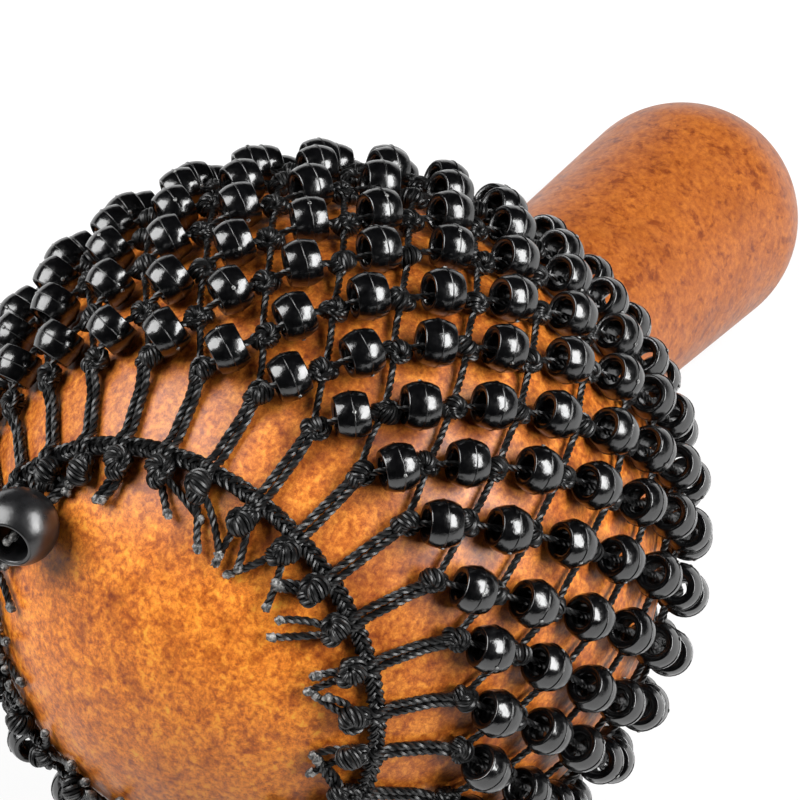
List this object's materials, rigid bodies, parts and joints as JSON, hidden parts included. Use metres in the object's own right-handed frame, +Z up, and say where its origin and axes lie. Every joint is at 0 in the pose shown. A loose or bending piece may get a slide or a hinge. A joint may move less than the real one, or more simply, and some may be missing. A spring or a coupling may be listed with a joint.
{
  "type": "cabasa",
  "caption": "Hand percussion rattle: closed gourd-shaped body with a thick knobbed handle, and a loose knotted net of barrel beads that turns round the bulb.",
  "frame": {"origin": "on the surface it lies on, under the middle of its box", "axes": "+Z up, +X from the bulb towards the knob of the handle; the gourd's axis dips 20.1 degrees towards the knob"},
  "size_m": [0.2264, 0.1478, 0.1483],
  "materials": {
    "amber_lacquer": "mottled amber-brown fibreglass under clear lacquer",
    "gloss_black": "glossy black moulded beads on their cord",
    "satin_black": "satin black bead",
    "black_cord": "twisted and plaited black nylon cord"
  },
  "bodies": {
    "gourd": {"gourd_body": "amber_lacquer"},
    "bead_net": {"base_ring": "black_cord", "neck_cord": "black_cord", "ring_end_1": "black_cord", "ring_end_2": "black_cord", "net_strand_01": "gloss_black", "net_strand_02": "gloss_black", "net_strand_03": "gloss_black", "net_strand_04": "gloss_black", "net_strand_05": "gloss_black", "net_strand_06": "gloss_black", "net_strand_07": "gloss_black", "net_strand_08": "gloss_black", "net_strand_09": "gloss_black", "net_strand_10": "gloss_black", "net_strand_11": "gloss_black", "net_strand_12": "gloss_black", "net_strand_13": "gloss_black", "net_strand_14": "gloss_black", "net_strand_15": "gloss_black", "net_strand_16": "gloss_black", "net_strand_17": "gloss_black", "net_strand_18": "gloss_black", "net_strand_19": "gloss_black", "net_strand_20": "gloss_black", "net_strand_21": "gloss_black", "net_strand_22": "gloss_black", "net_strand_23": "gloss_black", "net_strand_24": "gloss_black", "net_strand_25": "gloss_black", "net_strand_26": "gloss_black", "net_strand_27": "gloss_black", "net_strand_28": "gloss_black", "net_strand_29": "gloss_black"},
    "stopper": {"stopper_bead": "satin_black"}
  },
  "joints": [
    {"name": "net_turn", "type": "hinge", "parent": "gourd", "child": "bead_net", "pos_m": [-0.04729, 0, 0.0743], "axis": [0.9389, 0, -0.3441], "continuous": true},
    {"name": "stopper_slide", "type": "slide", "parent": "bead_net", "child": "stopper", "axis": [-0.958, -0.1732, 0.2286], "range_m": [0, 0.006]}
  ]
}
